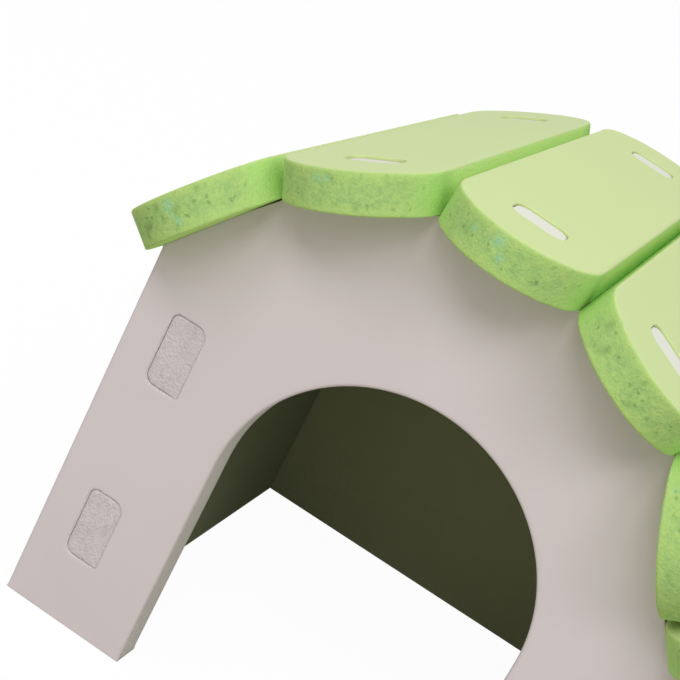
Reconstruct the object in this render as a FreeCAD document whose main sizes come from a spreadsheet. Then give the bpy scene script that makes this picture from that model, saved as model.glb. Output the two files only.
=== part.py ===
import FreeCAD, Part
import math
import os
import Sketcher
from FreeCAD import Vector

# A knock-down hamster house cut from one thickness of board. A front and a rear wall with a faceted
# roof line stand on edge, two side walls pass through them with tenons, and round-ended roof slats
# drop over tabs that stand up from every facet.
# House frame: X to the right of the doorway's centre line, Y from the front face to the rear face,
# Z up from the floor. A last shift puts the origin under the middle of the whole house.

dimensions = {
    "boardThick": 6.0,       # every wall and slat
    "houseDepth": 86.5,      # front face to rear face
    "archRadius": 26.0,      # doorway, half its width
    "archCentre": 37.8,      # floor to the middle of the arch
    "legWidth": 21.6,        # doorway to the left edge of the front wall
    "eaveHeight": 63.0,      # left edge of the front wall
    "eaveReach": 1.2,        # how far the outer slats pass the wall's edge, along their slope
    "slatWidth": 22.75,       # one facet of the roof line
    "slatGap": 0.45,          # between neighbouring slats
    "slatOverhang": 11.6,    # tip of a slat to the wall's outer face
    "valleyGap": 0.8,        # between the tall roof's last slat and the slat under it
    "slotLength": 8.8,
    "slotRound": 2.2,
    "tabFit": 0.15,
    "tabRecess": 0.5,        # a tab's end lies this far below the slat's face
    "tabRoot": 2.0,          # how deep a tab's solid starts inside the wall
    "tenonInset": 6.1,       # edge of the front wall to the outside of the side wall
    "tenonTall": 11.9,
    "tenonLow": 11.5,        # floor to the lower tenons
    "tenonHigh": 43.2,       # floor to the left wall's upper tenons
    "tenonHighRight": 31.5,  # the right wall is lower
    "tenonRound": 1.6,
    "tenonFit": 0.15,
    "leftWallTall": 69.0,
    "rightWallTall": 54.5,
    "windowRadius": 12.5,
    "windowMiddle": 85.3,    # doorway's centre line to the window's middle
    # slopes of the slats, in degrees, rising to the right
    "tilt1": 49.5,
    "tilt2": 23.5,
    "tilt3": -4.0,
    "tilt4": -26.5,
    "tilt5": -64.0,
    "tilt6": 33.0,
    "tilt7": 11.0,
    "tilt8": -11.0,
    "tilt9": -33.0,
}
slatCount = 9
tallRoofSlats = 5
leastCut = 1.0  # mm3, the least that a pocket has to take away
settings = "Dimensions"

doc = FreeCAD.newDocument("HamsterHouse")
sheet = doc.addObject("Spreadsheet::Sheet", settings)
for row, (alias, value) in enumerate(dimensions.items(), start=1):
    sheet.set("A%d" % row, alias)
    sheet.set("B%d" % row, str(value))
    sheet.setAlias("B%d" % row, alias)
doc.recompute()


def cell(alias):
    return settings + "." + alias


def slope(number):
    return cell("tilt%d" % number)


class Place:
    # a point of the roof line, as expressions in the sheet's cells and as plain numbers
    def __init__(self, across, up, acrossValue, upValue):
        self.across = across
        self.up = up
        self.acrossValue = acrossValue
        self.upValue = upValue

    def along(self, number, length, lengthValue, quarterTurn=0):
        # a step of the given length along slat number's slope, or at right angles below it
        angle = "(%s - %d)" % (slope(number), 90 * quarterTurn)
        angleValue = math.radians(dimensions["tilt%d" % number] - 90 * quarterTurn)
        return Place(
            "%s + (%s) * cos(%s)" % (self.across, length, angle),
            "%s + (%s) * sin(%s)" % (self.up, length, angle),
            self.acrossValue + lengthValue * math.cos(angleValue),
            self.upValue + lengthValue * math.sin(angleValue),
        )


def roofLine():
    # the lower corners of every slat: (left corner, right corner), from the left eave to the right
    start = Place(
        "-(%s + %s)" % (cell("archRadius"), cell("legWidth")),
        cell("eaveHeight"),
        -(dimensions["archRadius"] + dimensions["legWidth"]),
        dimensions["eaveHeight"],
    )
    corner = start.along(1, "-" + cell("eaveReach"), -dimensions["eaveReach"])
    corners = []
    for number in range(1, slatCount + 1):
        if number == tallRoofSlats + 1:
            drop = "%s + %s" % (cell("boardThick"), cell("valleyGap"))
            dropValue = dimensions["boardThick"] + dimensions["valleyGap"]
            corner = corner.along(number, drop, dropValue, quarterTurn=1)
        following = corner.along(number, cell("slatWidth"), dimensions["slatWidth"])
        corners.append((corner, following))
        corner = following
    return corners


roofCorners = roofLine()
middles = [
    left.along(number, cell("slatWidth") + " / 2", dimensions["slatWidth"] / 2)
    for number, (left, right) in enumerate(roofCorners, start=1)
]

# the house reaches from the first slat's upper left edge to the last slat's upper right edge
firstLeft = roofCorners[0][0].along(1, cell("slatGap") + " / 2", dimensions["slatGap"] / 2)
lastRight = roofCorners[-1][1].along(slatCount, "-%s / 2" % cell("slatGap"), -dimensions["slatGap"] / 2)
farLeft = "%s - %s * sin(%s)" % (firstLeft.across, cell("boardThick"), slope(1))
farRight = "%s - %s * sin(%s)" % (lastRight.across, cell("boardThick"), slope(slatCount))
shiftAcross = "-((%s) + (%s)) / 2" % (farLeft, farRight)
shiftBack = "-%s / 2" % cell("houseDepth")
wallRight = "%s - %s * cos(%s)" % (roofCorners[-1][1].across, cell("eaveReach"), slope(slatCount))


def newBody(label):
    body = doc.addObject("PartDesign::Body", label)
    body.Label = label
    return body


def place(body, across="0", back="0", up="0", turn="0"):
    # Placement in the house frame, then the shift that puts the origin under the middle
    body.setExpression("Placement.Base.x", "(%s) + (%s)" % (across, shiftAcross))
    body.setExpression("Placement.Base.y", "(%s) + (%s)" % (back, shiftBack))
    body.setExpression("Placement.Base.z", up)
    if turn != "0":
        body.Placement = FreeCAD.Placement(Vector(), FreeCAD.Rotation(Vector(0, 1, 0), 1))
        body.setExpression("Placement.Rotation.Angle", turn)


def newSketch(body, name, plane):
    sketch = body.newObject("Sketcher::SketchObject", name)
    support = [one for one in body.Origin.OriginFeatures if one.Role == plane][0]
    sketch.AttachmentSupport = (support, [""])
    sketch.MapMode = "FlatFace"
    return sketch


def bind(sketch, constraint, expression):
    # adds a dimension to the sketch and ties it to the sheet
    index = sketch.addConstraint(constraint)
    sketch.setExpression("Constraints[%d]" % index, expression)
    return index


def addPad(body, name, sketch, length, backwards=False):
    pad = body.newObject("PartDesign::Pad", name)
    pad.Profile = sketch
    pad.Reversed = backwards
    pad.setExpression("Length", length)
    body.Tip = pad
    return pad


def polyline(sketch, points):
    # joined straight lines; returns the index of the first
    first = sketch.GeometryCount
    for begin, end in zip(points, points[1:]):
        sketch.addGeometry(Part.LineSegment(Vector(*begin, 0), Vector(*end, 0)), False)
    for index in range(first, sketch.GeometryCount - 1):
        sketch.addConstraint(Sketcher.Constraint("Coincident", index, 2, index + 1, 1))
    return first


def roundedSlot(sketch, expressions, values):
    # a rectangle with rounded corners; both hold across, up, width, height and corner radius
    across, up, width, height, rounding = expressions
    x, y, widthValue, heightValue, roundValue = values
    halfWide = widthValue / 2
    halfTall = heightValue / 2
    inner = [
        (x - halfWide + roundValue, y - halfTall + roundValue),
        (x + halfWide - roundValue, y - halfTall + roundValue),
        (x + halfWide - roundValue, y + halfTall - roundValue),
        (x - halfWide + roundValue, y + halfTall - roundValue),
    ]
    first = sketch.GeometryCount
    outward = [(0, -1), (1, 0), (0, 1), (-1, 0)]
    for side in range(4):
        begin = inner[side]
        end = inner[(side + 1) % 4]
        dx, dy = (roundValue * part for part in outward[side])
        line = Part.LineSegment(
            Vector(begin[0] + dx, begin[1] + dy, 0), Vector(end[0] + dx, end[1] + dy, 0)
        )
        sketch.addGeometry(line, False)
        startAngle = math.radians(-90 + 90 * side)
        corner = Part.Circle(Vector(end[0], end[1], 0), Vector(0, 0, 1), roundValue)
        sketch.addGeometry(Part.ArcOfCircle(corner, startAngle, startAngle + math.pi / 2), False)
    lines = [first, first + 2, first + 4, first + 6]
    arcs = [first + 1, first + 3, first + 5, first + 7]
    for side in range(4):
        sketch.addConstraint(Sketcher.Constraint("Tangent", lines[side], 2, arcs[side], 1))
        sketch.addConstraint(Sketcher.Constraint("Tangent", arcs[side], 2, lines[(side + 1) % 4], 1))
    for side in (0, 2):
        sketch.addConstraint(Sketcher.Constraint("Horizontal", lines[side]))
        sketch.addConstraint(Sketcher.Constraint("Vertical", lines[side + 1]))
    for arc in arcs[1:]:
        sketch.addConstraint(Sketcher.Constraint("Equal", arcs[0], arc))
    bind(sketch, Sketcher.Constraint("Radius", arcs[0], roundValue), rounding)
    wide = "%s - 2 * (%s)" % (width, rounding)
    tall = "%s - 2 * (%s)" % (height, rounding)
    innerWide = widthValue - 2 * roundValue
    innerTall = heightValue - 2 * roundValue
    bind(sketch, Sketcher.Constraint("DistanceX", arcs[3], 3, arcs[0], 3, innerWide), wide)
    bind(sketch, Sketcher.Constraint("DistanceY", arcs[0], 3, arcs[1], 3, innerTall), tall)
    left = "%s - (%s) / 2" % (across, wide)
    low = "%s - (%s) / 2" % (up, tall)
    bind(sketch, Sketcher.Constraint("DistanceX", -1, 1, arcs[3], 3, inner[0][0]), left)
    bind(sketch, Sketcher.Constraint("DistanceY", -1, 1, arcs[3], 3, inner[0][1]), low)


def roofPoints():
    # the wall's upper edge, from the left eave to the right eave, as numbers for the first guess
    reach = dimensions["eaveReach"]
    first = roofCorners[0][0].along(1, "0", reach)
    last = roofCorners[-1][1].along(slatCount, "0", -reach)
    points = [(first.acrossValue, first.upValue)]
    for number, (left, right) in enumerate(roofCorners, start=1):
        if number == tallRoofSlats + 1:
            points.append((left.acrossValue, left.upValue))
        points.append((right.acrossValue, right.upValue))
    points[-1] = (last.acrossValue, last.upValue)
    return points


def wallOutline(body, hasDoor):
    # feet on the floor, upright edges, and one straight facet under every slat
    sketch = newSketch(body, body.Label + "_outline", "XZ_Plane")
    top = roofPoints()
    leftEdge = top[0][0]
    rightEdge = top[-1][0]
    radius = dimensions["archRadius"]
    archUp = dimensions["archCentre"]
    start = (-radius, 0) if hasDoor else (rightEdge, 0)
    points = [start, (leftEdge, 0)] + top + [(rightEdge, 0)]
    if hasDoor:
        points.append((radius, 0))
    floorLine = polyline(sketch, points)
    leftUpright = floorLine + 1
    firstFacet = floorLine + 2
    rightUpright = firstFacet + len(top) - 1
    sketch.addConstraint(Sketcher.Constraint("Vertical", leftUpright))
    sketch.addConstraint(Sketcher.Constraint("Vertical", rightUpright))
    sketch.addConstraint(Sketcher.Constraint("PointOnObject", leftUpright, 1, -1))
    sketch.addConstraint(Sketcher.Constraint("PointOnObject", rightUpright, 2, -1))
    edge = "%s + %s" % (cell("archRadius"), cell("legWidth"))
    bind(sketch, Sketcher.Constraint("DistanceX", leftUpright, 1, -1, 1, -leftEdge), edge)
    eave = Sketcher.Constraint("DistanceY", leftUpright, 1, leftUpright, 2, top[0][1])
    bind(sketch, eave, cell("eaveHeight"))
    line = firstFacet
    for number in range(1, slatCount + 1):
        if number == tallRoofSlats + 1:
            drop = "%s + %s" % (cell("boardThick"), cell("valleyGap"))
            dropValue = dimensions["boardThick"] + dimensions["valleyGap"]
            turned = math.radians(dimensions["tilt%d" % number] - 90)
            bind(sketch, Sketcher.Constraint("Distance", line, dropValue), drop)
            bind(sketch, Sketcher.Constraint("Angle", line, turned), "(%s - 90) * 1 deg" % slope(number))
            line += 1
        length = cell("slatWidth")
        lengthValue = dimensions["slatWidth"]
        if number in (1, slatCount):
            length += " - " + cell("eaveReach")
            lengthValue -= dimensions["eaveReach"]
        angle = math.radians(dimensions["tilt%d" % number])
        bind(sketch, Sketcher.Constraint("Distance", line, lengthValue), length)
        bind(sketch, Sketcher.Constraint("Angle", line, angle), "%s * 1 deg" % slope(number))
        line += 1
    if not hasDoor:
        sketch.addConstraint(Sketcher.Constraint("Coincident", rightUpright, 2, floorLine, 1))
        return sketch
    rightFoot = rightUpright + 1
    sketch.addConstraint(Sketcher.Constraint("Horizontal", floorLine))
    sketch.addConstraint(Sketcher.Constraint("Horizontal", rightFoot))
    jambs = polyline(sketch, [(radius, 0), (radius, archUp)])
    arch = Part.ArcOfCircle(Part.Circle(Vector(0, archUp, 0), Vector(0, 0, 1), radius), 0, math.pi)
    archIndex = sketch.addGeometry(arch, False)
    leftJamb = polyline(sketch, [(-radius, archUp), (-radius, 0)])
    sketch.addConstraint(Sketcher.Constraint("Coincident", rightFoot, 2, jambs, 1))
    sketch.addConstraint(Sketcher.Constraint("Tangent", jambs, 2, archIndex, 1))
    sketch.addConstraint(Sketcher.Constraint("Tangent", archIndex, 2, leftJamb, 1))
    sketch.addConstraint(Sketcher.Constraint("Coincident", leftJamb, 2, floorLine, 1))
    sketch.addConstraint(Sketcher.Constraint("Vertical", jambs))
    sketch.addConstraint(Sketcher.Constraint("Vertical", leftJamb))
    sketch.addConstraint(Sketcher.Constraint("PointOnObject", archIndex, 3, -2))
    bind(sketch, Sketcher.Constraint("DistanceY", -1, 1, archIndex, 3, archUp), cell("archCentre"))
    bind(sketch, Sketcher.Constraint("Radius", archIndex, radius), cell("archRadius"))
    windowAcross = dimensions["windowMiddle"]
    windowRadius = dimensions["windowRadius"]
    window = Part.Circle(Vector(windowAcross, archUp, 0), Vector(0, 0, 1), windowRadius)
    windowIndex = sketch.addGeometry(window, False)
    bind(sketch, Sketcher.Constraint("Radius", windowIndex, windowRadius), cell("windowRadius"))
    bind(sketch, Sketcher.Constraint("DistanceX", -1, 1, windowIndex, 3, windowAcross), cell("windowMiddle"))
    bind(sketch, Sketcher.Constraint("DistanceY", -1, 1, windowIndex, 3, archUp), cell("archCentre"))
    return sketch


# each side wall's outer face as an expression and a first guess, its height and its tenons' heights
leftOutside = "-(%s + %s) + %s" % (cell("archRadius"), cell("legWidth"), cell("tenonInset"))
leftOutsideValue = -(dimensions["archRadius"] + dimensions["legWidth"]) + dimensions["tenonInset"]
rightInside = "%s - %s - %s" % (wallRight, cell("tenonInset"), cell("boardThick"))
rightInsideValue = roofPoints()[-1][0] - dimensions["tenonInset"] - dimensions["boardThick"]
sideWalls = {
    "left_wall": (leftOutside, leftOutsideValue, "leftWallTall", ("tenonLow", "tenonHigh")),
    "right_wall": (rightInside, rightInsideValue, "rightWallTall", ("tenonLow", "tenonHighRight")),
}


def tenonSketch(body, name, wallName, fit, fitValue):
    # the cross-sections of one side wall's two tenons, or of their mortises with the fit added
    sketch = newSketch(body, name, "XZ_Plane")
    outside, outsideValue, _, heights = sideWalls[wallName]
    thick = dimensions["boardThick"]
    high = dimensions["tenonTall"]
    for height in heights:
        expressions = (
            "%s + %s / 2" % (outside, cell("boardThick")),
            "%s + %s / 2" % (cell(height), cell("tenonTall")),
            "%s + 2 * %s" % (cell("boardThick"), fit),
            "%s + 2 * %s" % (cell("tenonTall"), fit),
            cell("tenonRound") + " + " + fit,
        )
        values = (
            outsideValue + thick / 2,
            dimensions[height] + high / 2,
            thick + 2 * fitValue,
            high + 2 * fitValue,
            dimensions["tenonRound"] + fitValue,
        )
        roundedSlot(sketch, expressions, values)
    return sketch


def addTab(body, number):
    # one tab: a rounded bar that stands square on its facet and starts inside the wall
    sketch = newSketch(body, "%s_tab_%d" % (body.Label, number), "XY_Plane")
    middle = middles[number - 1]
    sketch.AttachmentOffset = FreeCAD.Placement(
        Vector(middle.acrossValue, dimensions["boardThick"] / 2, middle.upValue),
        FreeCAD.Rotation(Vector(0, 1, 0), -dimensions["tilt%d" % number]),
    )
    root = "%s * sin(%s)" % (cell("tabRoot"), slope(number))
    rootUp = "%s * cos(%s)" % (cell("tabRoot"), slope(number))
    sketch.setExpression(".AttachmentOffset.Base.x", "%s + %s" % (middle.across, root))
    sketch.setExpression(".AttachmentOffset.Base.y", cell("boardThick") + " / 2")
    sketch.setExpression(".AttachmentOffset.Base.z", "%s - %s" % (middle.up, rootUp))
    expressions = (
        "0",
        "0",
        "%s - 2 * %s" % (cell("slotLength"), cell("tabFit")),
        cell("boardThick"),
        "%s - %s" % (cell("slotRound"), cell("tabFit")),
    )
    values = (
        0,
        0,
        dimensions["slotLength"] - 2 * dimensions["tabFit"],
        dimensions["boardThick"],
        dimensions["slotRound"] - dimensions["tabFit"],
    )
    roundedSlot(sketch, expressions, values)
    rise = "%s + %s - %s" % (cell("tabRoot"), cell("boardThick"), cell("tabRecess"))
    addPad(body, "%s_tab_%d_pad" % (body.Label, number), sketch, rise)


def makeWall(label, back, hasDoor):
    body = newBody(label)
    outline = wallOutline(body, hasDoor)
    addPad(body, label + "_board", outline, cell("boardThick"), backwards=True)
    doc.recompute()
    for wallName in sideWalls:
        before = body.Shape.Volume
        sketch = tenonSketch(
            body, "%s_%s_mortises" % (label, wallName), wallName, cell("tenonFit"), dimensions["tenonFit"]
        )
        pocket = body.newObject("PartDesign::Pocket", "%s_%s_pocket" % (label, wallName))
        pocket.Profile = sketch
        pocket.Type = "ThroughAll"
        pocket.Midplane = True
        body.Tip = pocket
        doc.recompute()
        if body.Shape.Volume > before - leastCut:
            raise RuntimeError("the mortises of %s cut nothing" % label)
    for number in range(1, slatCount + 1):
        addTab(body, number)
    place(body, back=back)
    return body


def makeSideWall(label):
    # a plain board between the front and rear walls, with two tenon bars along its whole depth
    outside, outsideValue, tall, _ = sideWalls[label]
    body = newBody(label)
    sketch = newSketch(body, label + "_outline", "YZ_Plane")
    sketch.AttachmentOffset = FreeCAD.Placement(Vector(0, 0, outsideValue), FreeCAD.Rotation())
    sketch.setExpression(".AttachmentOffset.Base.z", outside)
    thick = dimensions["boardThick"]
    back = dimensions["houseDepth"] - thick
    up = dimensions[tall]
    points = [(thick, 0), (back, 0), (back, up), (thick, up), (thick, 0)]
    first = polyline(sketch, points)
    sketch.addConstraint(Sketcher.Constraint("Coincident", first + 3, 2, first, 1))
    for side in (0, 2):
        sketch.addConstraint(Sketcher.Constraint("Horizontal", first + side))
        sketch.addConstraint(Sketcher.Constraint("Vertical", first + side + 1))
    sketch.addConstraint(Sketcher.Constraint("PointOnObject", first, 1, -1))
    bind(sketch, Sketcher.Constraint("DistanceX", -1, 1, first, 1, thick), cell("boardThick"))
    inside = "%s - 2 * %s" % (cell("houseDepth"), cell("boardThick"))
    bind(sketch, Sketcher.Constraint("DistanceX", first, 1, first, 2, back - thick), inside)
    bind(sketch, Sketcher.Constraint("DistanceY", first + 1, 1, first + 1, 2, up), cell(tall))
    addPad(body, label + "_board", sketch, cell("boardThick"))
    tenons = tenonSketch(body, label + "_tenons", label, "0", 0)
    addPad(body, label + "_tenon_bars", tenons, cell("houseDepth"), backwards=True)
    place(body)
    return body


def makeSlat(number):
    # a board with half-round ends and two slots, lying on its facet
    label = "roof_slat_%d" % number
    body = newBody(label)
    sketch = newSketch(body, label + "_outline", "XY_Plane")
    half = (dimensions["slatWidth"] - dimensions["slatGap"]) / 2
    nearEnd = half - dimensions["slatOverhang"]
    farEnd = dimensions["houseDepth"] - nearEnd
    right = polyline(sketch, [(half, nearEnd), (half, farEnd)])
    farCircle = Part.Circle(Vector(0, farEnd, 0), Vector(0, 0, 1), half)
    farArc = sketch.addGeometry(Part.ArcOfCircle(farCircle, 0, math.pi), False)
    left = polyline(sketch, [(-half, farEnd), (-half, nearEnd)])
    nearCircle = Part.Circle(Vector(0, nearEnd, 0), Vector(0, 0, 1), half)
    nearArc = sketch.addGeometry(Part.ArcOfCircle(nearCircle, math.pi, 2 * math.pi), False)
    sketch.addConstraint(Sketcher.Constraint("Tangent", right, 2, farArc, 1))
    sketch.addConstraint(Sketcher.Constraint("Tangent", farArc, 2, left, 1))
    sketch.addConstraint(Sketcher.Constraint("Tangent", left, 2, nearArc, 1))
    sketch.addConstraint(Sketcher.Constraint("Tangent", nearArc, 2, right, 1))
    sketch.addConstraint(Sketcher.Constraint("Vertical", right))
    sketch.addConstraint(Sketcher.Constraint("Vertical", left))
    sketch.addConstraint(Sketcher.Constraint("PointOnObject", nearArc, 3, -2))
    halfWide = "(%s - %s) / 2" % (cell("slatWidth"), cell("slatGap"))
    near = "%s - %s" % (halfWide, cell("slatOverhang"))
    bind(sketch, Sketcher.Constraint("Radius", farArc, half), halfWide)
    bind(sketch, Sketcher.Constraint("DistanceY", -1, 1, nearArc, 3, nearEnd), near)
    span = "%s - 2 * (%s)" % (cell("houseDepth"), near)
    bind(sketch, Sketcher.Constraint("DistanceY", nearArc, 3, farArc, 3, farEnd - nearEnd), span)
    thick = dimensions["boardThick"]
    fit = dimensions["tabFit"]
    slotMiddles = (
        (cell("boardThick") + " / 2", thick / 2),
        ("%s - %s / 2" % (cell("houseDepth"), cell("boardThick")), dimensions["houseDepth"] - thick / 2),
    )
    for middle, middleValue in slotMiddles:
        opening = "%s + 2 * %s" % (cell("boardThick"), cell("tabFit"))
        expressions = ("0", middle, cell("slotLength"), opening, cell("slotRound"))
        values = (0, middleValue, dimensions["slotLength"], thick + 2 * fit, dimensions["slotRound"])
        roundedSlot(sketch, expressions, values)
    addPad(body, label + "_board", sketch, cell("boardThick"))
    middle = middles[number - 1]
    place(body, across=middle.across, up=middle.up, turn="-%s" % slope(number))
    return body


pieces = [
    makeWall("front_wall", "0", hasDoor=True),
    makeWall("rear_wall", "%s - %s" % (cell("houseDepth"), cell("boardThick")), hasDoor=False),
]
for wallName in sideWalls:
    pieces.append(makeSideWall(wallName))
for number in range(1, slatCount + 1):
    pieces.append(makeSlat(number))
doc.recompute()

for one in doc.Objects:
    if "Invalid" in one.State or "Error" in one.State:
        raise RuntimeError("%s failed: %s" % (one.Name, one.State))
    if one.TypeId == "Sketcher::SketchObject" and not one.FullyConstrained:
        raise RuntimeError("%s isn't fully constrained" % one.Name)
for body in pieces:
    if body.Shape.isNull() or not body.Shape.isValid() or len(body.Shape.Solids) != 1:
        raise RuntimeError("%s isn't one valid solid" % body.Label)

os.makedirs("parts", exist_ok=True)
for body in pieces:
    body.Shape.exportStep(os.path.join("parts", body.Label + ".step"))
    print(body.Label, round(body.Shape.Volume, 1), body.Shape.BoundBox)
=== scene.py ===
import math

import bpy
import numpy as np
from mathutils import Matrix, Vector
from mathutils.geometry import tessellate_polygon


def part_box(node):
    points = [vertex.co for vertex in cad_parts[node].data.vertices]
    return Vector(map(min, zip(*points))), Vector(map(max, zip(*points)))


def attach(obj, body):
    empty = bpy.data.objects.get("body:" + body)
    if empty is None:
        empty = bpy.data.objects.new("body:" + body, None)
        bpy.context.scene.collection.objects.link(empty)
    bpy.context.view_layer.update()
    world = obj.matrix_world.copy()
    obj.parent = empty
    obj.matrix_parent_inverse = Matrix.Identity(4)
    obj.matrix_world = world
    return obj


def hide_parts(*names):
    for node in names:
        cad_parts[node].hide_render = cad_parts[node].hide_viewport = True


# A hamster house of slotted boards: two faceted walls, two side walls and nine round-ended roof slats.
# Sizes are in millimetres and turn into metres where a mesh is made.
mm = 0.001
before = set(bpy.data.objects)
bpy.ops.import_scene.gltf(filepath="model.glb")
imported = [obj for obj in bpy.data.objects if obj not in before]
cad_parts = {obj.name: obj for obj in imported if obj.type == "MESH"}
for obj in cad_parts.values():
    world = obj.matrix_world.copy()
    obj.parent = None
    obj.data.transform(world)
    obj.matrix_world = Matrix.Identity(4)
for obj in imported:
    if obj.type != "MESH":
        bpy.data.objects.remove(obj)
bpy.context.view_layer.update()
print("frame loaded,", len(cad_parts), "nodes")

# every board, whatever its shape
board = {
    "thick": 6.0,
    "step": 0.4,                 # spacing of points along a cut
    "arcSteps": 4,               # fewest steps of an arc
    "rimSteps": 4,
    "cutRows": 13,               # rows of points across a cut
    "flatRim": 2.2,              # the face next to a rim has its own ring of points, this many rims in
    "grainSize": 0.9,
    "coarser": 2.7,              # size of the second grain to the first
    "grainDepth": 0.03,
    "fullGrainRim": 0.35,        # finer rims carry shallower grain
    "fewest": 3,                 # fewest cells of grain and fewest pores on a cut
    "poreEvery": 6.0,            # mean length of cut for one pore
    "poreHeights": (0.15, 0.7),  # place across the cut: the least share, and how much more at most
    "poreRadii": (0.22, 0.3),    # and the same for the radius
    "poreTall": 1.5,             # height of a pore to its width
    "poreDepth": 0.16,
    "poreShares": (0.4, 0.6),    # and for the share of that depth
    "cutFade": 0.3,              # share of the rim over which the look of the cut sets in
    "flankLate": 0.65,           # how much later it does on the flanks
    "flankSmooth": 0.8,          # how much of the grain the long sides of a slat lose
    "halfTurn": 0.5,             # the flank value goes from end to turned to flank to seam in such steps
    "seamFrom": 0.9,             # flank value from which a point can be near a seam
    "seamTall": 0.45,            # share of a flank, from below, that takes the seams' colour, painted light in the gaps
    "faceFrom": 0.45,            # share of the thickness, from its middle, past which a face begins
    "noArea": 1e-9,
}


def nodeBox(name):
    # the lowest and highest corner of a node, in millimetres
    low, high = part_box(name)
    return np.array(low) / mm, np.array(high) / mm


def spread(begin, end, step):
    # points in equal steps along a straight run, without its end
    begin, end = np.array(begin, float), np.array(end, float)
    count = max(1, math.ceil(np.linalg.norm(end - begin) / step))
    share = np.arange(count)[:, None] / count
    return begin + (end - begin) * share


def arc(centre, radius, fromAngle, toAngle, step):
    # centre plus radius times (cosine, sine) of an angle that runs evenly, without its end
    long = abs(math.radians(toAngle - fromAngle)) * radius
    count = max(board["arcSteps"], math.ceil(long / step))
    angle = np.radians(fromAngle + (toAngle - fromAngle) * np.arange(count) / count)
    return np.array(centre) + radius * np.stack([np.cos(angle), np.sin(angle)], axis=1)


def polygon(corners, step):
    # straight runs from each corner to the next, and from the last one back to the first
    runs = [spread(a, b, step) for a, b in zip(corners, corners[1:] + corners[:1])]
    return np.concatenate(runs)


def roundedRectangle(centre, wide, tall, roundings, step):
    # four quarter circles joined by straight runs, counterclockwise from the lower right corner
    roundings = np.broadcast_to(roundings, 4)
    inset = np.array([wide, tall]) / 2 - roundings[:, None]
    middles = np.array(centre) + inset * [(1, -1), (1, 1), (-1, 1), (-1, -1)]
    runs = []
    for number, direction in enumerate(np.array([(1, 0), (0, 1), (-1, 0), (0, -1)])):
        following = (number + 1) % 4
        leave = middles[number] + roundings[number] * direction
        arrive = middles[following] + roundings[following] * direction
        runs.append(arc(middles[number], roundings[number], 90 * number - 90, 90 * number, step))
        runs.append(spread(leave, arrive, step))
    return np.concatenate(runs)


def outward(loop):
    # the mitre at each point: the sum of both neighbours' normals over one plus their product
    before = loop - np.roll(loop, 1, axis=0)
    after = np.roll(loop, -1, axis=0) - loop
    normals = []
    for run in (before, after):
        normal = np.stack([run[:, 1], -run[:, 0]], axis=1)
        normals.append(normal / np.linalg.norm(normal, axis=1, keepdims=True))
    product = (normals[0] * normals[1]).sum(axis=1, keepdims=True)
    return (normals[0] + normals[1]) / (1 + product)


def latticeNoise(along, up, length, size, random):
    # random values on a lattice that closes on itself along the cut, eased between neighbours
    cells = max(board["fewest"], round(length / size))
    rows = math.ceil(up.max() / size) + 2
    lattice = random.random((rows, cells))
    x, y = along / length * cells, up / size
    column, row = np.floor(x).astype(int), np.floor(y).astype(int)
    easeX, easeY = [(part - np.floor(part)) ** 2 * (3 - 2 * (part - np.floor(part))) for part in (x, y)]
    left, right = column % cells, (column + 1) % cells
    low = lattice[row, left] * (1 - easeX) + lattice[row, right] * easeX
    high = lattice[row + 1, left] * (1 - easeX) + lattice[row + 1, right] * easeX
    return low * (1 - easeY) + high * easeY


def drawn(random, count, least, more):
    # the least value plus a random share of how much more it can be
    return least + more * random.random(count)


def sawnDepth(along, up, length, thick, random):
    # how far a cut lies under its true face: two sizes of grain, and bell-shaped pores at random
    size, depth = board["grainSize"], board["grainDepth"]
    grain = latticeNoise(along, up, length, size, random) * depth
    grain += latticeNoise(along, up, length, size * board["coarser"], random) * depth
    pores = max(board["fewest"], int(length / board["poreEvery"]))
    placeAlong = random.random(pores) * length
    placeUp = thick * drawn(random, pores, *board["poreHeights"])
    radius = drawn(random, pores, *board["poreRadii"])
    depths = board["poreDepth"] * drawn(random, pores, *board["poreShares"])
    gap = np.abs(along[..., None] - placeAlong)
    gap = np.minimum(gap, length - gap)
    far = (gap / radius) ** 2 + ((up[..., None] - placeUp) / (radius * board["poreTall"])) ** 2
    pit = (depths * np.exp(-far)).sum(axis=-1)
    return grain + pit, np.clip(pit / board["poreDepth"], 0, 1)


def rimProfile(thick, lowRims, highRims, squash, rows):
    # up the lower rim, straight across the cut and over the upper rim: inset and height at every point
    angle = np.linspace(0, math.pi / 2, board["rimSteps"] + 1)[:, None]
    insets, heights = [], []
    for rims in (lowRims, highRims):
        insets.append(np.concatenate([board["flatRim"] * rims[None], rims * (1 - np.sin(angle))]))
        heights.append(np.concatenate([0 * rims[None], squash * rims * (1 - np.cos(angle))]))
    share = np.linspace(0, 1, rows + 2)[1:-1, None]
    between = heights[0][-1] + (thick - heights[0][-1] - heights[1][-1]) * share
    return (
        np.concatenate([insets[0], np.zeros((rows, len(lowRims))), insets[1][::-1]]),
        np.concatenate([heights[0], between, (thick - heights[1])[::-1]]),
    )


def cutLoop(path, rim, lowRim=None, squash=1.0, sawn=True, flank=0.0):
    # one cut of a board: its path, its rims and how much flatter than round they are,
    # whether it looks sawn, and how far round to a flank it is
    count = len(path)
    lowRim = rim if lowRim is None else lowRim
    return {
        "path": path,
        "rims": (np.broadcast_to(lowRim, count), np.broadcast_to(rim, count)),
        "squash": squash,
        "sawn": sawn,
        "flank": np.broadcast_to(flank, count),
    }


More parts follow.
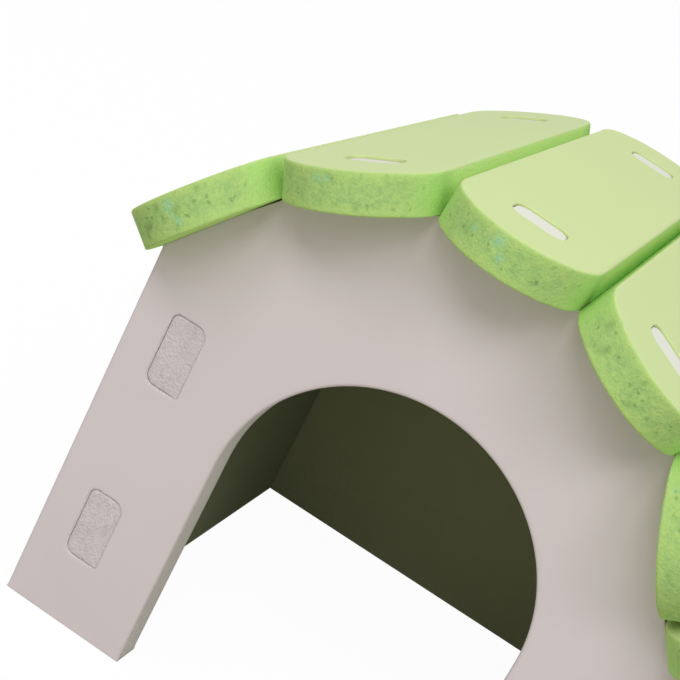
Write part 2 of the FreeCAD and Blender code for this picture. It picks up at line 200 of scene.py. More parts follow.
def cutSurface(loop, thick, grain, random):
    # the path, moved in by its rim and, where it is sawn, by the depth of its grain and pores
    path = loop["path"]
    runs = np.linalg.norm(np.roll(path, -1, axis=0) - path, axis=1)
    travelled, length = np.concatenate([[0], np.cumsum(runs)[:-1]]), runs.sum()
    low, high = loop["rims"]
    inset, height = rimProfile(thick, low, high, loop["squash"], board["cutRows"])
    edge = np.minimum(height / low, (thick - height) / high) / loop["squash"]
    cut = np.clip((edge - board["flankLate"] * loop["flank"]) / board["cutFade"], 0, 1)
    smooth = board["flankSmooth"] * np.minimum(1, loop["flank"] / board["halfTurn"])
    rough = cut * grain * np.minimum(1, high / board["fullGrainRim"]) * (1 - smooth)
    along = np.broadcast_to(travelled, height.shape)
    depth, pit = sawnDepth(along, height, length, thick, random)
    flat = path[None] - outward(path)[None] * (inset + depth * rough)[..., None]
    return flat, height, cut, pit * rough


def stain(flat, height, across, up, radius):
    # a bell-shaped spot of dye on the front end of a slat
    far = ((flat[..., 0] - across) ** 2 + (height - up) ** 2) / radius ** 2
    return np.exp(-far) * (flat[..., 1] < 0)


def fillFace(rings, indices, upwards):
    # triangles between the rings, all of them facing up or all down, without the empty ones
    filled = np.array(tessellate_polygon([[Vector((x, y, 0)) for x, y in ring] for ring in rings]))
    corner = np.concatenate(rings)[filled]
    twice = np.cross(corner[:, 1] - corner[:, 0], corner[:, 2] - corner[:, 0])
    kept = np.abs(twice) > board["noArea"]
    filled, wrongWay = filled[kept], (twice[kept] > 0) != upwards
    filled[wrongWay] = filled[wrongWay][:, ::-1]
    return np.concatenate(indices)[filled]


# what every point of a board knows: how far it is sawn, its share of a pore, how near it is to the middle
# of the thickness, its turn to a flank, how far a face is painted in shade, how far it is toned, with
# painted light on the tabs and painted shade on one slat, and how far it is dyed
meshValues = ("cut", "pit", "core", "flank", "inner", "toneAndPaintedLight", "dye")


def shell(loops, thick, place, seed, grain=1.0, sawnCaps=False, paintedShades=(0.0, 0.0), toneAndPaintedLight=0.0, dye=()):
    # a board cut along its loops: every loop carries its rims, and both faces are filled between the loops
    random = np.random.default_rng(seed)
    origin, across, along = [np.array(part, float) for part in place]
    upward = np.cross(across, along)
    parts, faces, base = [], [], 0
    values = {label: [] for label in meshValues}
    lowRings, highRings, lowIndex, highIndex = [], [], [], []
    for loop in loops:
        flat, height, cut, pit = cutSurface(loop, thick, grain, random)
        points = origin + flat[..., :1] * across + flat[..., 1:] * along + height[..., None] * upward
        parts.append(points.reshape(-1, 3))
        number = base + np.arange(height.size).reshape(height.shape)
        following = np.roll(number, -1, axis=1)
        quads = np.stack([number[:-1], following[:-1], following[1:], number[1:]], axis=-1)
        faces.append(quads.reshape(-1, 4))
        share = height / thick
        onFace = np.abs(share - 0.5) > board["faceFrom"]
        # the foot of a slat's flank is painted lighter, against the shade in the gap between slats
        seam = np.clip(1 - share / board["seamTall"], 0, 1) * (loop["flank"] > board["seamFrom"])
        own = {
            "cut": np.maximum(cut, float(sawnCaps)) * loop["sawn"],
            "pit": pit,
            "core": np.sin(math.pi * share),
            "flank": loop["flank"] + board["halfTurn"] * seam,
            "inner": np.where(share < 0.5, paintedShades[0], paintedShades[1]) * onFace,
            "toneAndPaintedLight": np.full(height.shape, toneAndPaintedLight),
            "dye": sum((stain(flat, height, *spot) for spot in dye), 0 * height) * cut,
        }
        for label in meshValues:
            values[label].append(own[label].ravel())
        lowRings.append(flat[0])
        lowIndex.append(number[0])
        highRings.append(flat[-1])
        highIndex.append(number[-1])
        base += height.size
    made = {label: np.concatenate(value) for label, value in values.items()}
    made["points"], made["quads"] = np.concatenate(parts), np.concatenate(faces)
    caps = (fillFace(lowRings, lowIndex, False), fillFace(highRings, highIndex, True))
    made["triangles"] = np.concatenate(caps)
    return made


def makePiece(name, shells, node, material):
    # joins the shells into one mesh, with every point's own values, and hands it to the frame
    base, points, polygons = 0, [], []
    for one in shells:
        points.append(one["points"])
        polygons += (one["quads"] + base).tolist() + (one["triangles"] + base).tolist()
        base += len(one["points"])
    mesh = bpy.data.meshes.new(name)
    mesh.from_pydata((np.concatenate(points) * mm).tolist(), [], polygons)
    mesh.update()
    for label in meshValues:
        value = np.concatenate([one[label] for one in shells])
        mesh.attributes.new(label, "FLOAT", "POINT").data.foreach_set("value", value.astype(np.float32))
    mesh.polygons.foreach_set("use_smooth", np.ones(len(mesh.polygons), bool))
    mesh.materials.append(material)
    piece = bpy.data.objects.new(name, mesh)
    bpy.context.scene.collection.objects.link(piece)
    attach(piece, "root")
    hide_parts(node)


# shader groups

def newGroup(name, inputs, outputs):
    # a node group with its sockets, and its two inner ends
    group = bpy.data.node_groups.new(name, "ShaderNodeTree")
    for label, kind, value in inputs:
        socket = group.interface.new_socket(label, in_out="INPUT", socket_type=kind)
        socket.default_value = value
    for label, kind in outputs:
        group.interface.new_socket(label, in_out="OUTPUT", socket_type=kind)
    return group, group.nodes.new("NodeGroupInput"), group.nodes.new("NodeGroupOutput")


def addNode(tree, kind, values=None, links=None, **settings):
    # a node with its settings, its plain input values, and the sockets that feed it
    node = tree.nodes.new(kind)
    for label, value in settings.items():
        setattr(node, label, value)
    for label, value in (values or {}).items():
        node.inputs[label].default_value = value
    for label, socket in (links or {}).items():
        tree.links.new(socket, node.inputs[label])
    return node


def feed(tree, socket, value):
    # a link where the value is another node's socket, and a plain value elsewhere
    if isinstance(value, bpy.types.NodeSocket):
        tree.links.new(value, socket)
    else:
        socket.default_value = value


def noise(tree, where, size, detail, roughness):
    # a noise whose blobs are about the given size in millimetres
    values = {"Scale": 1 / (size * mm), "Detail": detail, "Roughness": roughness}
    return addNode(tree, "ShaderNodeTexNoise", values, {"Vector": where}).outputs["Fac"]


def ramp(tree, value, low, high, toLow=0.0, toHigh=1.0):
    # straight from one range to another, held at its ends
    values = {"From Min": low, "From Max": high, "To Min": toLow, "To Max": toHigh}
    return addNode(tree, "ShaderNodeMapRange", values, {"Value": value}).outputs["Result"]


def blendColours(tree, share, first, second):
    # the first colour times one minus the share, plus the second times the share;
    # a mix node has its share at socket 0 and its colours at 6 and 7
    mixer = addNode(tree, "ShaderNodeMix", data_type="RGBA")
    feed(tree, mixer.inputs[0], share)
    feed(tree, mixer.inputs[6], first)
    feed(tree, mixer.inputs[7], second)
    return mixer.outputs[2]


def combine(tree, operation, first, second):
    # two values joined by one operation
    node = addNode(tree, "ShaderNodeMath", operation=operation)
    feed(tree, node.inputs[0], first)
    feed(tree, node.inputs[1], second)
    return node.outputs["Value"]


def spots(tree, where, spacing, radius, rarity, soft=0.4, fade=0.08):
    # one round spot in some of the cells: spacing in millimetres, radius as a share of it,
    # full inside the soft share of its radius, and in a cell whose own value passes the rarity
    cells = addNode(tree, "ShaderNodeTexVoronoi", {"Scale": 1 / (spacing * mm)}, {"Vector": where})
    kept = addNode(tree, "ShaderNodeSeparateColor", None, {"Color": cells.outputs["Color"]}).outputs["Red"]
    spot = ramp(tree, cells.outputs["Distance"], radius, radius * soft)
    return combine(tree, "MULTIPLY", spot, ramp(tree, kept, rarity, rarity + fade))


# noises give size in millimetres, detail and roughness; ranges are those that spread over the whole ramp
skinGrain = {
    "clouds": (38.0, 2.0, 0.55),
    "cloudRange": (0.38, 0.68),
    "mottle": (2.6, 4.0, 0.7),
    "mottleRange": (0.3, 0.75),
    "mottleShare": 0.45,
    "pebbles": (0.45, 2.0, 0.55),
}


def makeSkinGroup():
    # the smooth face of the board: faint clouds of tone, a fine mottle over them and a pebbled height
    group, inside, outside = newGroup(
        "boardSkin",
        [("Colour", "NodeSocketColor", (1, 1, 1, 1)), ("Clouded", "NodeSocketColor", (1, 1, 1, 1))],
        [("Colour", "NodeSocketColor"), ("Height", "NodeSocketFloat")],
    )
    where = group.nodes.new("ShaderNodeTexCoord").outputs["Object"]
    clouds = ramp(group, noise(group, where, *skinGrain["clouds"]), *skinGrain["cloudRange"])
    mottle = ramp(group, noise(group, where, *skinGrain["mottle"]), *skinGrain["mottleRange"])
    toned = blendColours(group, clouds, inside.outputs["Colour"], inside.outputs["Clouded"])
    share = combine(group, "MULTIPLY", mottle, skinGrain["mottleShare"])
    toned = blendColours(group, share, toned, inside.outputs["Clouded"])
    pebbles = noise(group, where, *skinGrain["pebbles"])
    group.links.new(toned, outside.inputs["Colour"])
    group.links.new(pebbles, outside.inputs["Height"])
    return group


cutGrain = {
    "core": (0.3, 0.85, 0.4, 1.0),    # the felt is weaker near the faces
    "felt": (                         # noise, range and share of the deep colour
        ((2.2, 3.0, 0.65), (0.40, 0.60), 0.32),
        ((0.9, 2.0, 0.6), (0.40, 0.62), 0.36),
        ((0.4, 1.0, 0.6), (0.38, 0.64), 0.32),
    ),
    "bend": {"Scale": 900.0, "Detail": 2.0},
    "bentBy": 0.0012,                 # in metres
    "specks": (1.5, 0.27, 0.30),      # spacing, radius and rarity
    "speckShare": 0.62,
    "flecks": (4.2, 0.22, 0.72),
    "fleckShare": 0.65,
    "dyeLeast": 0.5,                  # share of the dye that is left where the dust is thinnest
    "dustHeight": -0.5,
}


def makeCutGroup():
    # the sawn edge: felted grain in two colours between dense outer layers, dark specks,
    # and rare flecks of dye
    group, inside, outside = newGroup(
        "sawnEdge",
        [
            ("Light", "NodeSocketColor", (1, 1, 1, 1)),
            ("Deep", "NodeSocketColor", (0.5, 0.5, 0.5, 1)),
            ("Speck", "NodeSocketColor", (0.1, 0.1, 0.1, 1)),
            ("Fleck", "NodeSocketColor", (0.1, 0.3, 0.4, 1)),
            ("Pit", "NodeSocketFloat", 0.0),
            ("Core", "NodeSocketFloat", 0.0),
            ("Dye", "NodeSocketFloat", 0.0),
        ],
        [("Colour", "NodeSocketColor"), ("Height", "NodeSocketFloat")],
    )
    where = group.nodes.new("ShaderNodeTexCoord").outputs["Object"]
    core = ramp(group, inside.outputs["Core"], *cutGrain["core"])
    # felt: blotches of two millimetres, crumbs on them, and last the dust on the crumbs
    share = 0.0
    for values, span, weight in cutGrain["felt"]:
        dust = ramp(group, noise(group, where, *values), *span)
        share = combine(group, "ADD", share, combine(group, "MULTIPLY", dust, weight))
    share = combine(group, "MULTIPLY", share, core)
    body = blendColours(group, share, inside.outputs["Light"], inside.outputs["Deep"])
    # specks and flecks: cells with one spot each, kept in a few cells only, and bent out of round
    bent = addNode(group, "ShaderNodeTexNoise", cutGrain["bend"], {"Vector": where}).outputs["Color"]
    values = {"Scale": cutGrain["bentBy"]}
    nudge = addNode(group, "ShaderNodeVectorMath", values, {0: bent}, operation="SCALE").outputs["Vector"]
    nudged = addNode(group, "ShaderNodeVectorMath", links={0: where, 1: nudge}, operation="ADD")
    nudged = nudged.outputs["Vector"]
    specks = spots(group, nudged, *cutGrain["specks"])
    specks = combine(group, "MAXIMUM", combine(group, "MULTIPLY", specks, core), inside.outputs["Pit"])
    specks = combine(group, "MULTIPLY", specks, cutGrain["speckShare"])
    body = blendColours(group, specks, body, inside.outputs["Speck"])
    flecks = combine(group, "MULTIPLY", spots(group, nudged, *cutGrain["flecks"]), core)
    left = ramp(group, dust, 0.0, 1.0, cutGrain["dyeLeast"], 1.0)
    dyed = combine(group, "MULTIPLY", inside.outputs["Dye"], left)
    flecks = combine(group, "MAXIMUM", flecks, dyed)
    flecks = combine(group, "MULTIPLY", flecks, cutGrain["fleckShare"])
    body = blendColours(group, flecks, body, inside.outputs["Fleck"])
    raised = combine(group, "MULTIPLY", dust, cutGrain["dustHeight"])
    height = combine(group, "SUBTRACT", raised, specks)
    group.links.new(body, outside.inputs["Colour"])
    group.links.new(height, outside.inputs["Height"])
    return group


skinGroup, cutGroup = makeSkinGroup(), makeCutGroup()


def blendInSteps(tree, value, colour, following):
    # from one colour to the next over each step of the value
    half = board["halfTurn"]
    for count, other in enumerate(following):
        colour = blendColours(tree, ramp(tree, value, count * half, (count + 1) * half), colour, other)
    return colour


def boardMaterial(name, look):
    # skin on the faces and sawn grain on the cuts, by the piece's own values
    material = bpy.data.materials.new(name)
    material.use_nodes = True
    tree = material.node_tree
    shader = tree.nodes["Principled BSDF"]
    own = {
        label: addNode(tree, "ShaderNodeAttribute", attribute_name=label).outputs["Fac"]
        for label in meshValues
    }
    skin = addNode(tree, "ShaderNodeGroup", node_tree=skinGroup)
    skin.inputs["Colour"].default_value = look["skin"]
    skin.inputs["Clouded"].default_value = look["clouded"]
    sawn = addNode(tree, "ShaderNodeGroup", node_tree=cutGroup)
    for label in ("Light", "Deep", "Speck", "Fleck"):
        sawn.inputs[label].default_value = look[label.lower()]
    for label in ("Pit", "Core", "Dye"):
        tree.links.new(own[label.lower()], sawn.inputs[label])
    # a face is painted in shade, and dull, where it is an inner one and lies in the room
    where = tree.nodes.new("ShaderNodeTexCoord").outputs["Object"]
    across = addNode(tree, "ShaderNodeSeparateXYZ", None, {"Vector": where}).outputs["X"]
    inside = combine(tree, "MULTIPLY", combine(tree, "GREATER_THAN", across, look["room"][0]), own["inner"])
    inside = combine(tree, "MULTIPLY", combine(tree, "LESS_THAN", across, look["room"][1]), inside)
    # tone: random from slat to slat, painted shade on the second slat and painted light on the tabs' ends
    toned = blendColours(tree, own["toneAndPaintedLight"], skin.outputs["Colour"], look["toned"])
    # the painted shade: dark olive on the walls' inner faces, a greener green on the slats' lower faces
    toned = blendInSteps(tree, inside, toned, look["paintedShadeColours"])
    # the cut's colour steps to the turned colours, on the slats the painted shade and painted light of the
    # gaps
    edge = blendInSteps(tree, own["flank"], sawn.outputs["Colour"], look["turned"])
    colour = blendColours(tree, own["cut"], toned, edge)
    tree.links.new(colour, shader.inputs["Base Color"])
    rough = ramp(tree, own["cut"], 0.0, 1.0, look["skinRough"], look["cutRough"])
    rough = combine(tree, "MAXIMUM", rough, ramp(tree, inside, 0.0, board["halfTurn"]))
    tree.links.new(rough, shader.inputs["Roughness"])
    shader.inputs["Specular IOR Level"].default_value = look["gloss"]
    height = combine(tree, "MULTIPLY", skin.outputs["Height"], look["skinHeight"])
    cutHeight = combine(tree, "MULTIPLY", sawn.outputs["Height"], look["cutHeight"])
    cutHeight = combine(tree, "MULTIPLY", cutHeight, own["cut"])
    height = combine(tree, "ADD", height, cutHeight)
    bump = addNode(tree, "ShaderNodeBump", {"Distance": mm, "Strength": 1.0}, {"Height": height})
    tree.links.new(bump.outputs["Normal"], shader.inputs["Normal"])
    return material


# room: from where to where across the house, in metres, the inner faces are painted in shade; the roof's
# all are
# painted shade colours: half and full painted shade; turned: half turned to a flank, a flank, and near a
# seam
roofLook = {
    "room": (-1.0, 1.0),
    "skin": (0.545, 0.640, 0.272, 1),
    "clouded": (0.520, 0.625, 0.262, 1),
    "toned": (0.510, 0.615, 0.265, 1),
    # painted shade: the slats' lower faces are a greener green, which also tints the shade they throw on
    # the walls; the second is a dark green
    "paintedShadeColours": ((0.480, 0.760, 0.200, 1), (0.200, 0.360, 0.090, 1)),
    # painted on the slats' cut sides: a deeper green where an end turns into the gap between slats, painted
    # shade; a lighter green on the flanks and a brighter one at their foot, painted light in the gaps
    "turned": ((0.400, 0.660, 0.175, 1), (0.535, 0.765, 0.245, 1), (0.560, 0.970, 0.300, 1)),
    "light": (0.390, 0.557, 0.166, 1),
    "deep": (0.250, 0.425, 0.145, 1),
    "speck": (0.130, 0.260, 0.070, 1),
    "fleck": (0.210, 0.570, 0.430, 1),
    "skinRough": 0.5,
    "cutRough": 0.85,
    "gloss": 0.35,
    "skinHeight": 0.012,
    "cutHeight": 0.07,
}
wallLook = {
    "room": (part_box("left_wall")[0][0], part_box("right_wall")[1][0]),
    "skin": (0.608, 0.540, 0.562, 1),
    "clouded": (0.582, 0.518, 0.532, 1),
    # the tabs' ends take the toned colour, lighter and greener than the skin: painted light on their upward
    # faces
    "toned": (0.686, 0.686, 0.610, 1),
    # painted shade: dark olive on the inner faces, darker still on the side walls
    "paintedShadeColours": ((0.355, 0.360, 0.215, 1), (0.260, 0.275, 0.165, 1)),
    "turned": ((0.745, 0.690, 0.675, 1),) * 3,
    "light": (0.610, 0.545, 0.562, 1),
    "deep": (0.330, 0.290, 0.303, 1),
    "speck": (0.360, 0.315, 0.310, 1),
    "fleck": (0.640, 0.600, 0.590, 1),
    "skinRough": 0.6,
    "cutRough": 0.9,
    "gloss": 0.2,
    "skinHeight": 0.010,
    "cutHeight": 0.10,
}
roofMaterial = boardMaterial("roofBoard", roofLook)
wallMaterial = boardMaterial("wallBoard", wallLook)
print("materials made")

# roof slats
slat = {
    "facet": 22.75,        # width of one facet of the roof line
    "wide": 22.74,
    "slotLength": 8.44,
    "slotWide": 6.07,
    "slotRound": 2.13,
    "wallsDepth": 86.5,    # front wall's outer face to the rear wall's; the slots lie over the walls
    "rim": 0.45,           # rounding of the slat's upper edge
    "lowRim": 0.35,        # and of its lower edge at the ends
    "sideRim": 0.07,       # and along its sides
    "slotRim": 0.14,
    "flankFrom": 0.72,     # share of the half width from which an end turns into a flank
    "flankFade": 5.0,
    "paintedUnderShade": 0.5,     # the lower faces are painted in a greener shade colour
    "tilts": (49.5, 23.5, -4.0, -26.5, -64.0, 33.0, 11.0, -11.0, -33.0),
    "tallRoof": 5,         # slats of the tall roof, the rest form the low one
    "tonesWithPaintedShade": (0.4, 1.0, 0.3, 0.4, 0.6, 0.2, 0.5, 0.1, 0.4),  # how far each slat goes to the duller green: at random, and on the second slat painted shade
    "dyes": {              # spots on some front ends: place across the slat, height and radius
        0: ((-1.1, 4.4, 0.75), (-0.3, 1.8, 0.5), (-1.0, 2.8, 0.3)),
        1: ((-3.1, 4.6, 0.5), (-1.7, 4.6, 0.4)),
        2: ((-1.1, 4.4, 0.8), (0.1, 2.6, 0.5), (-4.8, 3.8, 0.4)),
    },
    "seed": 100,
}
thick, step = board["thick"], board["step"]
slatNodes = ["roof_slat_%d" % number for number in range(1, len(slat["tilts"]) + 1)]
backwards = np.array([0.0, 1.0, 0.0])


def slatPlace(number):
    # middle of the lower face, direction up the slope, and the slat's own upward direction
    low, high = nodeBox(slatNodes[number])
    tilt = math.radians(slat["tilts"][number])
    slope = np.array([math.cos(tilt), 0, math.sin(tilt)])
    square = np.array([-math.sin(tilt), 0, math.cos(tilt)])
    return (low + high) / 2 - square * thick / 2, slope, square


def slatLoops(reach):
    # straight sides, half-round ends, and one slot over each wall
    half = slat["wide"] / 2
    bend = reach / 2 - half
    outline = np.concatenate([
        spread((half, -bend), (half, bend), step),
        arc((0, bend), half, 0, 180, step),
        spread((-half, bend), (-half, -bend), step),
        arc((0, -bend), half, 180, 360, step),
    ])
    # how far an end turns to its flank, and so to the painted shade and painted light of the gaps between
    # slats
    turned = np.clip((np.abs(outline[:, 0]) / half - slat["flankFrom"]) / (1 - slat["flankFrom"]), 0, 1)
    fromEnd = np.clip((bend - np.abs(outline[:, 1])) / slat["flankFade"], 0, 1)
    lowRim = slat["lowRim"] + (slat["sideRim"] - slat["lowRim"]) * turned
    loops = [cutLoop(outline, slat["rim"], lowRim, flank=board["halfTurn"] * (turned + fromEnd))]
    # the routed slots are as pale as the faces
    slotMiddle = (slat["wallsDepth"] - thick) / 2
    for middle in ((0, -slotMiddle), (0, slotMiddle)):
        slot = roundedRectangle(middle, slat["slotLength"], slat["slotWide"], slat["slotRound"], step)
        loops.append(cutLoop(slot[::-1], slat["slotRim"], sawn=False))
    return loops


for number, node in enumerate(slatNodes):
    middle, slope = slatPlace(number)[:2]
    low, high = nodeBox(node)
    loops, seed = slatLoops(high[1] - low[1]), slat["seed"] + number
    toneAndPaintedLight, dye, paintedShades = slat["tonesWithPaintedShade"][number], slat["dyes"].get(number, ()), (slat["paintedUnderShade"], 0)
    one = shell(loops, thick, (middle, slope, backwards), seed, paintedShades=paintedShades, toneAndPaintedLight=toneAndPaintedLight, dye=dye)
    makePiece(node + "_board", [one], node, roofMaterial)
print("slats made")

# walls
wall = {
    "archRadius": 26.05,
    "archCentre": 37.4,
    "legWidth": 21.8,      # doorway to the left edge
    "eaveReach": 1.2,      # how far the outer slats pass the wall
    "cornerDrop": 0.35,    # how far a facet falls away from its slat at both ends
    "seat": 0.3,           # share of a facet at each end that falls away
    "windowRadius": 12.5,
    "windowMiddle": 85.1,  # from the middle of the doorway
    "windowHeight": 37.8,
    "tabLength": 8.35,
    "tabRound": 2.1,
    "tabRim": 0.2,
    "sunk": 0.4,           # how deep a tab starts below its facet
    "tab": (5.7, 1.0),     # how far it rises over the facet, and how far its end is painted lighter, as painted light
    "otherTabs": {1: (5.55, 0.7)},
    "rim": 0.55,           # rounding of the walls' edges
    "footRim": 0.15,       # and where they stand on the floor, under the slats and on the side walls
    "footHeight": 0.8,     # height over which it grows from the one to the other
    "grain": 0.2,          # the walls' cuts are smoother than the slats'
    # how far the walls' inner faces are painted in shade
    "innerShade": 0.5,
    "paintedSideShade": 1.0,      # the side walls' inner faces are painted in deeper shade
    "seeds": {"front_wall": 200, "rear_wall": 300, "left_wall": 400, "right_wall": 500},
}
tenon = {
    "inset": 6.1,          # edge of the front wall to the side wall
    "tall": 11.9,
    "leftHeights": (11.5, 43.2),
    "rightHeights": (11.5, 31.5),
    "rounds": (0.5, 1.7, 1.2, 1.7),  # from the lower right corner counterclockwise
    "gap": 0.005,
    "endGap": 2.0,         # the gaps at a tenon's upper and lower end are this much wider
    "shift": 0.01,         # the tenons lie against one side of their mortises
    "rim": 0.45,
    "tightRim": 0.18,      # on that side, and round its corners
    "tightWide": 0.5,
    "tightFade": 1.6,
    "squash": 0.35,        # their rims are wide and shallow
    "recess": 0.1,         # how far their ends lie under the wall's face
    "sunk": 1.0,           # how far they start inside their own wall
}
leftLow, leftHigh = nodeBox("left_wall")
rightLow, rightHigh = nodeBox("right_wall")
leftEdge = leftLow[0] - tenon["inset"]
rightEdge = rightHigh[0] + tenon["inset"]
doorMiddle = leftEdge + wall["legWidth"] + wall["archRadius"]
frontFace, rearFace = leftLow[1], leftHigh[1]
toRight, toLeft, toUp = np.eye(3)[0], -np.eye(3)[0], np.eye(3)[2]


def roofEdge():
    # the walls' upper edge from the right eave to the left one:
    # each facet falls away from its slat at both ends, and two facets meet halfway between their ends
    last = len(slatNodes) - 1
    points = []
    for number in range(last, -1, -1):
        middle, slope, square = slatPlace(number)
        half, fall = slope * slat["facet"] / 2, square * wall["cornerDrop"]
        eave = slope * wall["eaveReach"]
        right = middle + half - (eave if number == last else fall)
        left = middle - half + (eave if number == 0 else -fall)
        if number in (last, slat["tallRoof"] - 1):
            points.append(right)
        else:
            points[-1] = (points[-1] + right) / 2
        seat = slope * slat["facet"] * (0.5 - wall["seat"])
        points += [middle + seat, middle - seat, left]
    return [(point[0], point[2]) for point in points]


def tenonLoop(middle, gap, hole=False, fromBehind=False):
    # a rounded rectangle with small rims where the tenon lies against its mortise
    wide, tall = thick + 2 * gap, tenon["tall"] + 2 * gap * tenon["endGap"]
    outline = roundedRectangle(middle, wide, tall, np.array(tenon["rounds"]) + gap, step)
    away = wide / 2 + middle[0] - outline[:, 0] - tenon["tightWide"]
    share = np.clip(away / tenon["tightFade"], 0, 1)
    rims = tenon["tightRim"] + (tenon["rim"] - tenon["tightRim"]) * share
    if fromBehind:
        outline = outline * (-1, 1)
    if hole or fromBehind:
        outline, rims = outline[::-1], rims[::-1]
    return cutLoop(outline, rims, squash=tenon["squash"])


def tenonMiddles():
    # the middle of each side wall, at half a tenon's height over each of its heights
    middles = []
    for low, heights in ((leftLow, tenon["leftHeights"]), (rightLow, tenon["rightHeights"])):
        middles += [(low[0] + thick / 2, height + tenon["tall"] / 2) for height in heights]
    return middles


def wallLoops(hasDoor):
    # the outline, with the doorway cut up from the floor, and the holes
    corners = [(rightEdge, 0.0)] + roofEdge() + [(leftEdge, 0.0)]
    holes = []
    if hasDoor:
        radius, centre = wall["archRadius"], wall["archCentre"]
        doorLeft, doorRight = doorMiddle - radius, doorMiddle + radius
        runs = [spread(a, b, step) for a, b in zip(corners, corners[1:] + [(doorLeft, 0.0)])]
        runs.append(spread((doorLeft, 0.0), (doorLeft, centre), step))
        runs.append(arc((doorMiddle, centre), radius, 180, 0, step))
        runs.append(spread((doorRight, centre), (doorRight, 0.0), step))
        runs.append(spread((doorRight, 0.0), (rightEdge, 0.0), step))
        outline = np.concatenate(runs)
        middle = (doorMiddle + wall["windowMiddle"], wall["windowHeight"])
        window = arc(middle, wall["windowRadius"], 360, 0, step)
        holes.append(cutLoop(window, wall["rim"], flank=1.0))
    else:
        outline = polygon(corners, step)
    # the rim is small at the feet and under the slats, and full elsewhere
    footShare = np.clip(outline[:, 1] / wall["footHeight"], 0, 1)
    rims = wall["footRim"] + (wall["rim"] - wall["footRim"]) * footShare
    roofPoints = sum(len(spread(a, b, step)) for a, b in zip(corners[1:-2], corners[2:-1]))
    pastEave = np.arange(len(outline)) - math.ceil(corners[1][1] / step)
    rims = np.where((pastEave >= 0) & (pastEave <= roofPoints), wall["footRim"], rims)
    for middle in tenonMiddles():
        holes.append(tenonLoop(middle, tenon["gap"], hole=True))
    return [cutLoop(outline, rims, flank=1.0)] + holes


def tabShell(number, wallMiddle, seed):
    # a rounded rectangle that stands square on its facet, from a little below it
    middle, slope, square = slatPlace(number)
    loop = roundedRectangle((0, 0), wall["tabLength"], thick, wall["tabRound"], step)
    origin = middle - square * wall["sunk"]
    origin[1] = wallMiddle
    rise, toneAndPaintedLight = wall["otherTabs"].get(number, wall["tab"])
    place = (origin, slope, backwards)
    return shell([cutLoop(loop, wall["tabRim"])], rise + wall["sunk"], place, seed, toneAndPaintedLight=toneAndPaintedLight)


for node, hasDoor, wallRear, paintedShades in (
    ("front_wall", True, frontFace + thick, (wall["innerShade"], 0)),
    ("rear_wall", False, rearFace, (0, wall["innerShade"])),
):
    place, seed = ((0, wallRear, 0), toRight, toUp), wall["seeds"][node]
    shells = [shell(wallLoops(hasDoor), thick, place, seed, wall["grain"], paintedShades=paintedShades)]
    for number in range(len(slatNodes)):
        shells.append(tabShell(number, wallRear - thick / 2, seed + 1 + number))
    makePiece(node + "_board", shells, node, wallMaterial)

for node, low, high, heights, paintedShades in (
    ("left_wall", leftLow, leftHigh, tenon["leftHeights"], (0, wall["paintedSideShade"])),
    ("right_wall", rightLow, rightHigh, tenon["rightHeights"], (wall["paintedSideShade"], 0)),
):
    front, rear, top = low[1] + thick, high[1] - thick, high[2]
    outline = polygon([(front, 0.0), (rear, 0.0), (rear, top), (front, top)], step)
    place, seed = ((low[0], 0, 0), backwards, toUp), wall["seeds"][node]
    shells = [shell([cutLoop(outline, wall["footRim"])], thick, place, seed, wall["grain"], paintedShades=paintedShades)]
    length = thick - tenon["recess"] + tenon["sunk"]
    ends = ((toRight, front + tenon["sunk"], False), (toLeft, rear - tenon["sunk"], True))
    for count, height in enumerate(heights):
        for across, start, behind in ends:
            origin = (low[0] + thick / 2 + tenon["shift"], start, height + tenon["tall"] / 2)
            loops = [tenonLoop((0, 0), -tenon["shift"], fromBehind=behind)]
            shells.append(shell(loops, length, (origin, across, toUp), seed + 1 + count, sawnCaps=True))
    makePiece(node + "_board", shells, node, wallMaterial)
print("walls made")

# floor, light and camera; the floor's size and the lamps are in metres and watts
studio = {
    "floorSize": 8.0,
    "floorDrop": 0.05,     # keeps the floor clear of the walls' feet
    "floorColour": (0.52, 0.51, 0.41, 1),
    "seenColour": (0.90, 0.90, 0.90, 1),
    "white": (1, 1, 1, 1),
    "whiteShare": 0.97,    # how much of the floor that the camera sees is plain white
    "skyStrength": 0.65,
    "lampAim": (0.0, 0.0, 0.05),
    "lampSize": 0.36,
    "lamps": (             # name, place and power
        ("leftLamp", (-0.365, -0.52, 0.69), 1.22),
        ("middleLamp", (0.0, -0.635, 0.69), 2.25),
        ("rightLamp", (0.365, -0.52, 0.69), 1.76),
    ),
}


def seenDirectly(tree):
    # one for rays of the camera, of reflections and of glass
    path = tree.nodes.new("ShaderNodeLightPath").outputs
    rays = combine(tree, "MAXIMUM", path["Is Camera Ray"], path["Is Glossy Ray"])
    return combine(tree, "MAXIMUM", rays, path["Is Transmission Ray"])


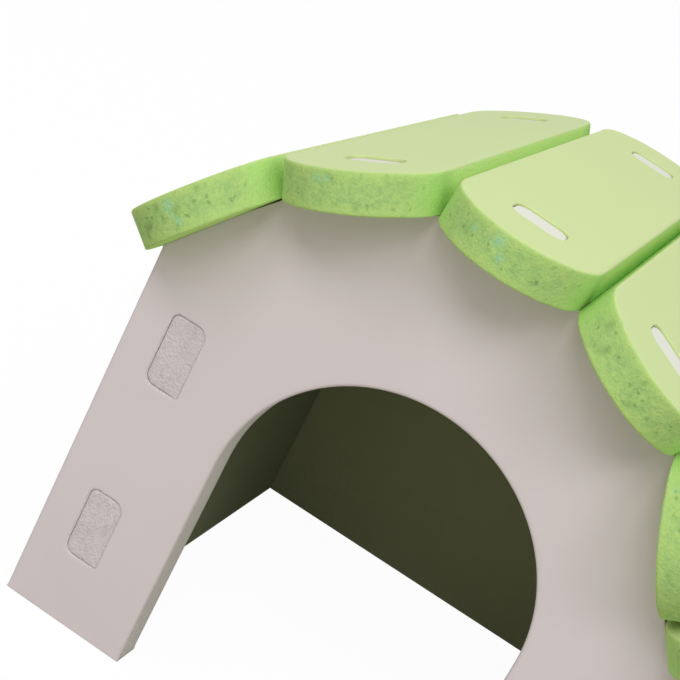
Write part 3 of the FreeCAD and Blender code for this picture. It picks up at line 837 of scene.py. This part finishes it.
half, below = studio["floorSize"] / 2, -studio["floorDrop"] * mm
floorMesh = bpy.data.meshes.new("floor")
floorCorners = [(x * half, y * half, below) for x, y in ((-1, -1), (1, -1), (1, 1), (-1, 1))]
floorMesh.from_pydata(floorCorners, [], [(0, 1, 2, 3)])
floor = bpy.data.objects.new("floor", floorMesh)
bpy.context.scene.collection.objects.link(floor)
floorMaterial = bpy.data.materials.new("paleFloor")
floorMaterial.use_nodes = True
tree = floorMaterial.node_tree
tree.nodes.remove(tree.nodes["Principled BSDF"])
seen = seenDirectly(tree)
floorColour = blendColours(tree, seen, studio["floorColour"], studio["seenColour"])
diffuse = addNode(tree, "ShaderNodeBsdfDiffuse", None, {"Color": floorColour})
white = addNode(tree, "ShaderNodeEmission", {"Color": studio["white"], "Strength": 1.0})
share = combine(tree, "MULTIPLY", seen, studio["whiteShare"])
mixed = addNode(tree, "ShaderNodeMixShader", links={0: share, 1: diffuse.outputs[0], 2: white.outputs[0]})
tree.links.new(mixed.outputs[0], tree.nodes["Material Output"].inputs["Surface"])
floorMesh.materials.append(floorMaterial)

world = bpy.data.worlds.new("studio")
bpy.context.scene.world = world
world.use_nodes = True
tree = world.node_tree
sky = tree.nodes["Background"]
sky.inputs["Color"].default_value = studio["white"]
sky.inputs["Strength"].default_value = studio["skyStrength"]
plain = addNode(tree, "ShaderNodeBackground", {"Color": studio["white"], "Strength": 1.0})
seen = seenDirectly(tree)
mixed = addNode(tree, "ShaderNodeMixShader", links={0: seen, 1: sky.outputs[0], 2: plain.outputs[0]})
tree.links.new(mixed.outputs[0], tree.nodes["World Output"].inputs["Surface"])

for name, place, power in studio["lamps"]:
    lampData = bpy.data.lights.new(name, "AREA")
    lampData.shape = "DISK"
    lampData.size = studio["lampSize"]
    lampData.energy = power
    lamp = bpy.data.objects.new(name, lampData)
    bpy.context.scene.collection.objects.link(lamp)
    lamp.location = place
    lamp.rotation_euler = (Vector(studio["lampAim"]) - Vector(place)).to_track_quat("-Z", "Y").to_euler()

view = {
    "place": (-4.72, -259.49, 145.95),
    "azimuth": 13.36,      # degrees round to the right
    "elevation": 20.01,    # degrees down
    "lean": 27.18,         # the camera is tilted to its left
    "lens": 88.74,
    "sensor": 36.0,
    "nearest": 0.01,       # in metres
    "farthest": 100.0,
}
cameraData = bpy.data.cameras.new("camera")
cameraData.lens = view["lens"]
cameraData.sensor_width = view["sensor"]
cameraData.clip_start = view["nearest"]
cameraData.clip_end = view["farthest"]
camera = bpy.data.objects.new("camera", cameraData)
bpy.context.scene.collection.objects.link(camera)
turn = Matrix.Rotation(math.radians(view["azimuth"]), 4, "Z")
tip = Matrix.Rotation(math.radians(90 - view["elevation"]), 4, "X")
lean = Matrix.Rotation(math.radians(view["lean"]), 4, "Z")
camera.matrix_world = Matrix.Translation(Vector(view["place"]) * mm) @ turn @ tip @ lean
bpy.context.scene.camera = camera
bpy.context.scene.view_settings.view_transform = "Standard"
print("studio made")
